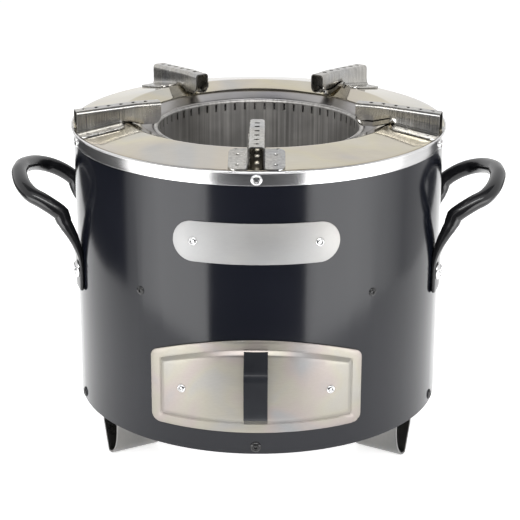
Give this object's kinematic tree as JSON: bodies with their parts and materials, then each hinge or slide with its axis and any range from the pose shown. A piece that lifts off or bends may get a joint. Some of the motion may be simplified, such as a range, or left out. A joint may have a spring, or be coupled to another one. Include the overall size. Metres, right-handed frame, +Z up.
{
  "type": "charcoal stove",
  "caption": "Round tabletop charcoal stove with a riveted painted shell, slotted firebox liner, pressed pot supports, side handles and a sliding ash drawer with an arched front.",
  "frame": {"origin": "on the round body's centre line, level with the undersides of the feet", "axes": "+Z up, -Y out of the front where the ash drawer opens, +X to the right seen from the front"},
  "size_m": [0.378, 0.3033, 0.2693],
  "materials": {
    "black_paint": "gloss",
    "bright_steel": "polished",
    "tinted_steel": "satin",
    "throat_steel": "satin",
    "liner_steel": "satin",
    "plain_steel": "satin",
    "fibre": "matte",
    "grate_iron": "matte",
    "drawer_steel": "satin",
    "black_gloss": "gloss",
    "plate_aluminium": "satin",
    "foot_steel": "satin",
    "support_steel": "satin",
    "rivet_steel": "polished",
    "black_rivet": "satin"
  },
  "bodies": {
    "stove": {"body_shell": "black_paint", "rim_band": "bright_steel", "top_plate": "tinted_steel", "throat_cone": "throat_steel", "firebox_liner": "liner_steel", "air_jacket": "plain_steel", "insulation": "fibre", "firebox_floor": "plain_steel", "base_pan": "plain_steel", "drawer_rail_left": "plain_steel", "drawer_rail_right": "plain_steel", "nameplate": "plate_aluminium", "handle_left": "black_gloss", "handle_right": "black_gloss", "foot_left": "foot_steel", "foot_right": "foot_steel", "foot_rear": "foot_steel", "pot_support_1": "support_steel", "pot_support_2": "support_steel", "pot_support_3": "support_steel", "pot_support_4": "support_steel", "pot_support_5": "support_steel", "rim_rivets": "rivet_steel", "base_rivets": "black_rivet", "body_rivets": "black_rivet", "nameplate_rivets": "rivet_steel", "handle_rivets": "rivet_steel"},
    "ash_drawer": {"ash_tray": "plain_steel", "drawer_front": "drawer_steel", "drawer_handle": "black_gloss", "drawer_front_rivets": "rivet_steel"},
    "grate": {"charcoal_grate": "grate_iron"}
  },
  "joints": [
    {"name": "drawer_slide", "type": "slide", "parent": "stove", "child": "ash_drawer", "axis": [0, -1, 0], "range_m": [0, 0.14]},
    {"name": "grate_lift", "type": "slide", "parent": "stove", "child": "grate", "axis": [0, 0, 1], "range_m": [0, 0.15]}
  ]
}
